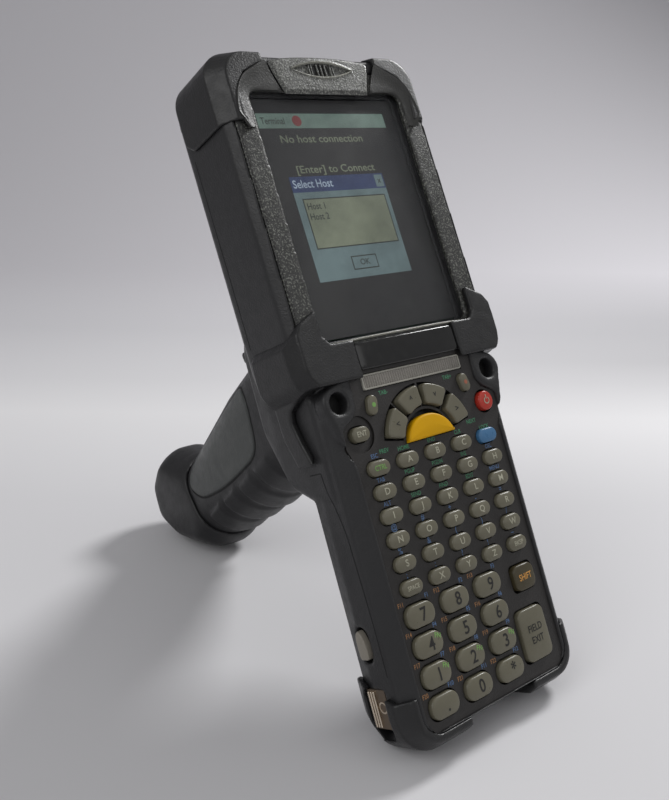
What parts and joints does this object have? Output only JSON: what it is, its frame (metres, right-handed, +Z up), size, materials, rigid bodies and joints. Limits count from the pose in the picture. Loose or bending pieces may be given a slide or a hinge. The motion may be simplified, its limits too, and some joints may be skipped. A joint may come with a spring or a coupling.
{
  "type": "portable barcode data terminal",
  "caption": "Rugged handheld barcode terminal with a pistol grip, a tall touch display, letter and number keys, rubber bumpers, a trigger and a removable battery.",
  "frame": {"origin": "on the ground, in the middle of the terminal's footprint as it stands on the edge of its foot bumper and the heel of its grip", "axes": "+Z up, -Y towards the user who looks at the display, +X to the right of the display"},
  "size_m": [0.0904, 0.2085, 0.2096],
  "materials": {
    "shell": "fine grain, nearly black",
    "grip_shell": "satin",
    "rubber": "matt",
    "bezel": "speckled grey, fine texture",
    "plate": "satin",
    "key": "satin khaki",
    "amber_key": "satin",
    "red_key": "satin",
    "blue_key": "satin",
    "olive_key": "satin",
    "glass": "clear, polished",
    "screen": "lit liquid crystal display",
    "gloss_black": "polished",
    "light_bar": "frosted",
    "red_window": "dark red, see-through to the scanner",
    "board": "solder resist",
    "steel": "plain",
    "contact": "plain"
  },
  "bodies": {
    "terminal": {"front_housing": "shell", "rear_housing": "shell", "display_bezel": "bezel", "keypad_plate": "plate", "touch_panel": "glass", "lcd_module": "screen", "beeper_cover": "bezel", "beeper": "gloss_black", "name_plate": "gloss_black", "status_window": "light_bar", "main_board": "board", "keypad_board": "board", "scan_engine": "gloss_black", "scan_window": "red_window", "top_bumper_left": "rubber", "top_bumper_right": "rubber", "side_bumper_left": "rubber", "side_bumper_right": "rubber", "foot_bumper": "rubber", "contact_plates": "contact", "grip_shell_left": "grip_shell", "grip_shell_right": "grip_shell", "grip_base": "rubber", "trigger_pin": "steel", "trigger_switch": "board", "housing_screws": "steel"},
    "scan_key": {"scan_key": "amber_key"},
    "power_key": {"power_key": "red_key"},
    "enter_key": {"enter_key": "key"},
    "blue_key": {"blue_key": "blue_key"},
    "shift_key": {"shift_key": "olive_key"},
    "field_key": {"field_key": "key"},
    "nav_key_left": {"nav_key_left": "key"},
    "nav_key_up": {"nav_key_up": "key"},
    "nav_key_down": {"nav_key_down": "key"},
    "nav_key_right": {"nav_key_right": "key"},
    "oval_key_left": {"oval_key_left": "key"},
    "oval_key_right": {"oval_key_right": "key"},
    "number_key_7": {"number_key_7": "key"},
    "number_key_8": {"number_key_8": "key"},
    "number_key_9": {"number_key_9": "key"},
    "number_key_4": {"number_key_4": "key"},
    "number_key_5": {"number_key_5": "key"},
    "number_key_6": {"number_key_6": "key"},
    "number_key_1": {"number_key_1": "key"},
    "number_key_2": {"number_key_2": "key"},
    "number_key_3": {"number_key_3": "key"},
    "point_key": {"point_key": "key"},
    "number_key_0": {"number_key_0": "key"},
    "star_key": {"star_key": "key"},
    "letter_keys_row_1": {"letter_keys_row_1": "key"},
    "letter_keys_row_2": {"letter_keys_row_2": "key"},
    "letter_keys_row_3": {"letter_keys_row_3": "key"},
    "letter_keys_row_4": {"letter_keys_row_4": "key"},
    "letter_keys_row_5": {"letter_keys_row_5": "key"},
    "letter_keys_row_6": {"letter_keys_row_6": "key"},
    "battery_pack": {"battery_pack": "shell"},
    "battery_latch_left": {"battery_latch_left": "key"},
    "battery_latch_right": {"battery_latch_right": "key"},
    "trigger": {"trigger": "gloss_black"}
  },
  "joints": [
    {"name": "scan_key_press", "type": "slide", "parent": "terminal", "child": "scan_key", "axis": [0, 0.9026, -0.4305], "range_m": [0, 0.0008], "stiffness_N_per_m": 1500},
    {"name": "power_key_press", "type": "slide", "parent": "terminal", "child": "power_key", "axis": [0, 0.9026, -0.4305], "range_m": [0, 0.0008], "stiffness_N_per_m": 1500},
    {"name": "enter_key_press", "type": "slide", "parent": "terminal", "child": "enter_key", "axis": [0, 0.9026, -0.4305], "range_m": [0, 0.0008], "stiffness_N_per_m": 1500},
    {"name": "blue_key_press", "type": "slide", "parent": "terminal", "child": "blue_key", "axis": [0, 0.9026, -0.4305], "range_m": [0, 0.0008], "stiffness_N_per_m": 1500},
    {"name": "shift_key_press", "type": "slide", "parent": "terminal", "child": "shift_key", "axis": [0, 0.9026, -0.4305], "range_m": [0, 0.0008], "stiffness_N_per_m": 1500},
    {"name": "field_key_press", "type": "slide", "parent": "terminal", "child": "field_key", "axis": [0, 0.9026, -0.4305], "range_m": [0, 0.0008], "stiffness_N_per_m": 1500},
    {"name": "nav_key_left_press", "type": "slide", "parent": "terminal", "child": "nav_key_left", "axis": [0, 0.9026, -0.4305], "range_m": [0, 0.0008], "stiffness_N_per_m": 1500},
    {"name": "nav_key_up_press", "type": "slide", "parent": "terminal", "child": "nav_key_up", "axis": [0, 0.9026, -0.4305], "range_m": [0, 0.0008], "stiffness_N_per_m": 1500},
    {"name": "nav_key_down_press", "type": "slide", "parent": "terminal", "child": "nav_key_down", "axis": [0, 0.9026, -0.4305], "range_m": [0, 0.0008], "stiffness_N_per_m": 1500},
    {"name": "nav_key_right_press", "type": "slide", "parent": "terminal", "child": "nav_key_right", "axis": [0, 0.9026, -0.4305], "range_m": [0, 0.0008], "stiffness_N_per_m": 1500},
    {"name": "oval_key_left_press", "type": "slide", "parent": "terminal", "child": "oval_key_left", "axis": [0, 0.9026, -0.4305], "range_m": [0, 0.0008], "stiffness_N_per_m": 1500},
    {"name": "oval_key_right_press", "type": "slide", "parent": "terminal", "child": "oval_key_right", "axis": [0, 0.9026, -0.4305], "range_m": [0, 0.0008], "stiffness_N_per_m": 1500},
    {"name": "number_key_7_press", "type": "slide", "parent": "terminal", "child": "number_key_7", "axis": [0, 0.9026, -0.4305], "range_m": [0, 0.0008], "stiffness_N_per_m": 1500},
    {"name": "number_key_8_press", "type": "slide", "parent": "terminal", "child": "number_key_8", "axis": [0, 0.9026, -0.4305], "range_m": [0, 0.0008], "stiffness_N_per_m": 1500},
    {"name": "number_key_9_press", "type": "slide", "parent": "terminal", "child": "number_key_9", "axis": [0, 0.9026, -0.4305], "range_m": [0, 0.0008], "stiffness_N_per_m": 1500},
    {"name": "number_key_4_press", "type": "slide", "parent": "terminal", "child": "number_key_4", "axis": [0, 0.9026, -0.4305], "range_m": [0, 0.0008], "stiffness_N_per_m": 1500},
    {"name": "number_key_5_press", "type": "slide", "parent": "terminal", "child": "number_key_5", "axis": [0, 0.9026, -0.4305], "range_m": [0, 0.0008], "stiffness_N_per_m": 1500},
    {"name": "number_key_6_press", "type": "slide", "parent": "terminal", "child": "number_key_6", "axis": [0, 0.9026, -0.4305], "range_m": [0, 0.0008], "stiffness_N_per_m": 1500},
    {"name": "number_key_1_press", "type": "slide", "parent": "terminal", "child": "number_key_1", "axis": [0, 0.9026, -0.4305], "range_m": [0, 0.0008], "stiffness_N_per_m": 1500},
    {"name": "number_key_2_press", "type": "slide", "parent": "terminal", "child": "number_key_2", "axis": [0, 0.9026, -0.4305], "range_m": [0, 0.0008], "stiffness_N_per_m": 1500},
    {"name": "number_key_3_press", "type": "slide", "parent": "terminal", "child": "number_key_3", "axis": [0, 0.9026, -0.4305], "range_m": [0, 0.0008], "stiffness_N_per_m": 1500},
    {"name": "point_key_press", "type": "slide", "parent": "terminal", "child": "point_key", "axis": [0, 0.9026, -0.4305], "range_m": [0, 0.0008], "stiffness_N_per_m": 1500},
    {"name": "number_key_0_press", "type": "slide", "parent": "terminal", "child": "number_key_0", "axis": [0, 0.9026, -0.4305], "range_m": [0, 0.0008], "stiffness_N_per_m": 1500},
    {"name": "star_key_press", "type": "slide", "parent": "terminal", "child": "star_key", "axis": [0, 0.9026, -0.4305], "range_m": [0, 0.0008], "stiffness_N_per_m": 1500},
    {"name": "letter_keys_row_1_press", "type": "slide", "parent": "terminal", "child": "letter_keys_row_1", "axis": [0, 0.9026, -0.4305], "range_m": [0, 0.0008], "stiffness_N_per_m": 1500},
    {"name": "letter_keys_row_2_press", "type": "slide", "parent": "terminal", "child": "letter_keys_row_2", "axis": [0, 0.9026, -0.4305], "range_m": [0, 0.0008], "stiffness_N_per_m": 1500},
    {"name": "letter_keys_row_3_press", "type": "slide", "parent": "terminal", "child": "letter_keys_row_3", "axis": [0, 0.9026, -0.4305], "range_m": [0, 0.0008], "stiffness_N_per_m": 1500},
    {"name": "letter_keys_row_4_press", "type": "slide", "parent": "terminal", "child": "letter_keys_row_4", "axis": [0, 0.9026, -0.4305], "range_m": [0, 0.0008], "stiffness_N_per_m": 1500},
    {"name": "letter_keys_row_5_press", "type": "slide", "parent": "terminal", "child": "letter_keys_row_5", "axis": [0, 0.9026, -0.4305], "range_m": [0, 0.0008], "stiffness_N_per_m": 1500},
    {"name": "letter_keys_row_6_press", "type": "slide", "parent": "terminal", "child": "letter_keys_row_6", "axis": [0, 0.9026, -0.4305], "range_m": [0, 0.0008], "stiffness_N_per_m": 1500},
    {"name": "battery_out", "type": "slide", "parent": "terminal", "child": "battery_pack", "axis": [0, 0.9026, -0.4305], "range_m": [0, 0.025]},
    {"name": "battery_latch_left_push", "type": "slide", "parent": "terminal", "child": "battery_latch_left", "axis": [1, 0, 0], "range_m": [0, 0.0018], "stiffness_N_per_m": 1200},
    {"name": "battery_latch_right_push", "type": "slide", "parent": "terminal", "child": "battery_latch_right", "axis": [-1, 0, 0], "range_m": [0, 0.0018], "stiffness_N_per_m": 1200},
    {"name": "trigger_pull", "type": "hinge", "parent": "terminal", "child": "trigger", "pos_m": [0, 0.00068, 0.11599], "axis": [1, 0, 0], "range_deg": [-9, 0], "stiffness_Nm_per_rad": 0.6}
  ]
}
